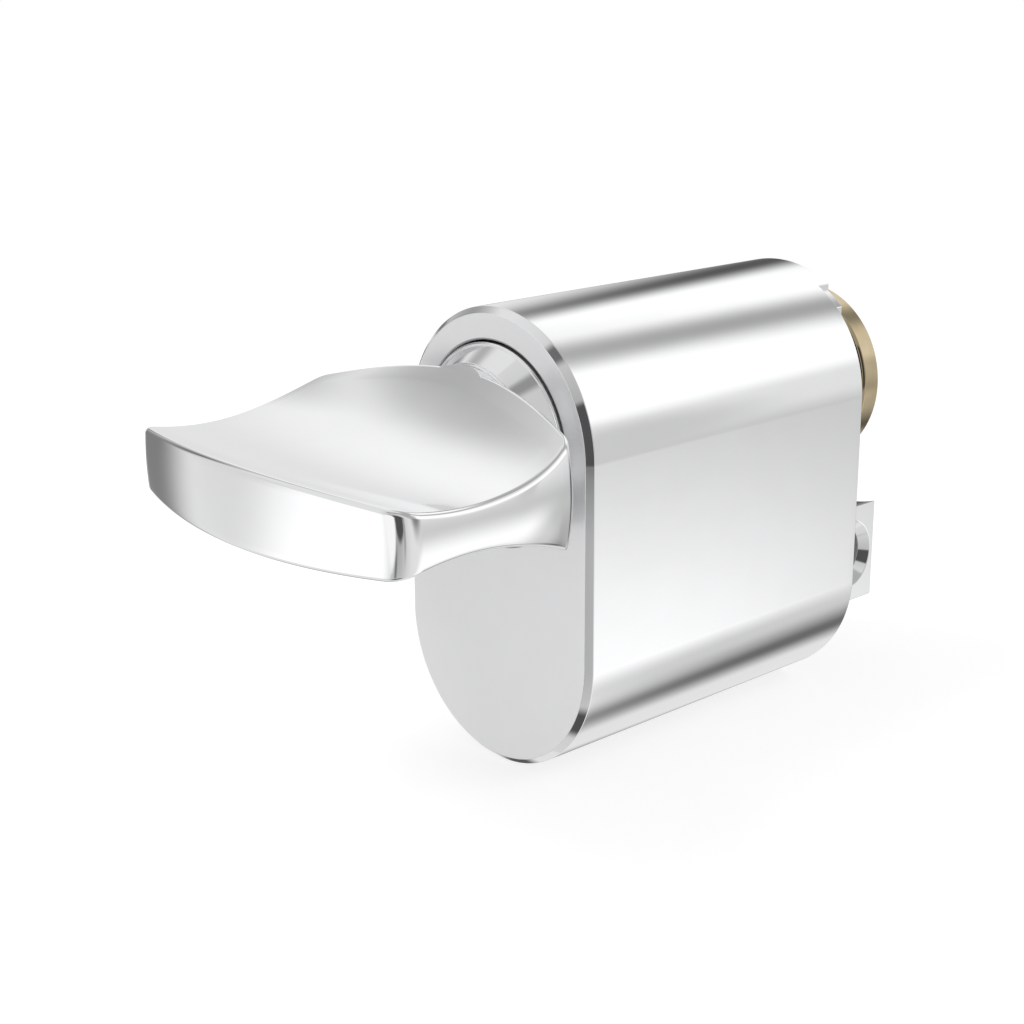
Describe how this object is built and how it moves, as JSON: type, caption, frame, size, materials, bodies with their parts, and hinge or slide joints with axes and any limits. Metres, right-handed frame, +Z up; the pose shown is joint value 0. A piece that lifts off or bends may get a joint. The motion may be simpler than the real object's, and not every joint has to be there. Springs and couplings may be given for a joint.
{
  "type": "thumb turn cylinder",
  "caption": "Oval lock cylinder with a dished turn handle in front, a grooved drive disc behind and a fixing lug drilled crosswise for its retaining pin.",
  "frame": {"origin": "on the turn axis, in the plane of the oval body's front face", "axes": "+Y along the turn axis from the handle to the drive disc, +Z up from the lower lobe to the turn axis, +X to the right"},
  "size_m": [0.0306, 0.0668, 0.0367],
  "materials": {
    "chrome_plate": "polished",
    "bronze": "satin",
    "black_rubber": "matt",
    "spring_steel": "satin",
    "brass": "satin",
    "black_steel": "satin",
    "bright_steel": "polished"
  },
  "bodies": {
    "housing": {"cylinder_body": "chrome_plate", "front_bush": "bronze", "rear_bush": "bronze", "wave_washer": "spring_steel", "thrust_washer": "spring_steel", "front_detent_spring": "spring_steel", "rear_detent_spring": "spring_steel", "front_detent_screw": "black_steel", "rear_detent_screw": "black_steel"},
    "turn": {"thumb_turn": "chrome_plate", "collar_seal_ring": "black_rubber", "turn_shaft": "brass", "draw_screw": "black_steel", "draw_screw_washer": "spring_steel", "retaining_clip": "spring_steel", "drive_disc": "brass", "left_disc_screw": "bright_steel", "right_disc_screw": "bright_steel", "disc_dowel": "bright_steel"},
    "front_ball": {"front_detent_ball": "bright_steel"},
    "rear_ball": {"rear_detent_ball": "bright_steel"}
  },
  "joints": [
    {"name": "turn_rotation", "type": "hinge", "parent": "housing", "child": "turn", "pos_m": [0, 0, 0], "axis": [0, 1, 0], "continuous": true},
    {"name": "front_ball_slide", "type": "slide", "parent": "housing", "child": "front_ball", "axis": [0, 0, 1], "range_m": [0, 0.0005], "stiffness_N_per_m": 500, "springref_m": 0.0005, "deforming": ["front_detent_spring"]},
    {"name": "rear_ball_slide", "type": "slide", "parent": "housing", "child": "rear_ball", "axis": [0, 0, 1], "range_m": [0, 0.0005], "stiffness_N_per_m": 500, "springref_m": 0.0005, "deforming": ["rear_detent_spring"]}
  ]
}
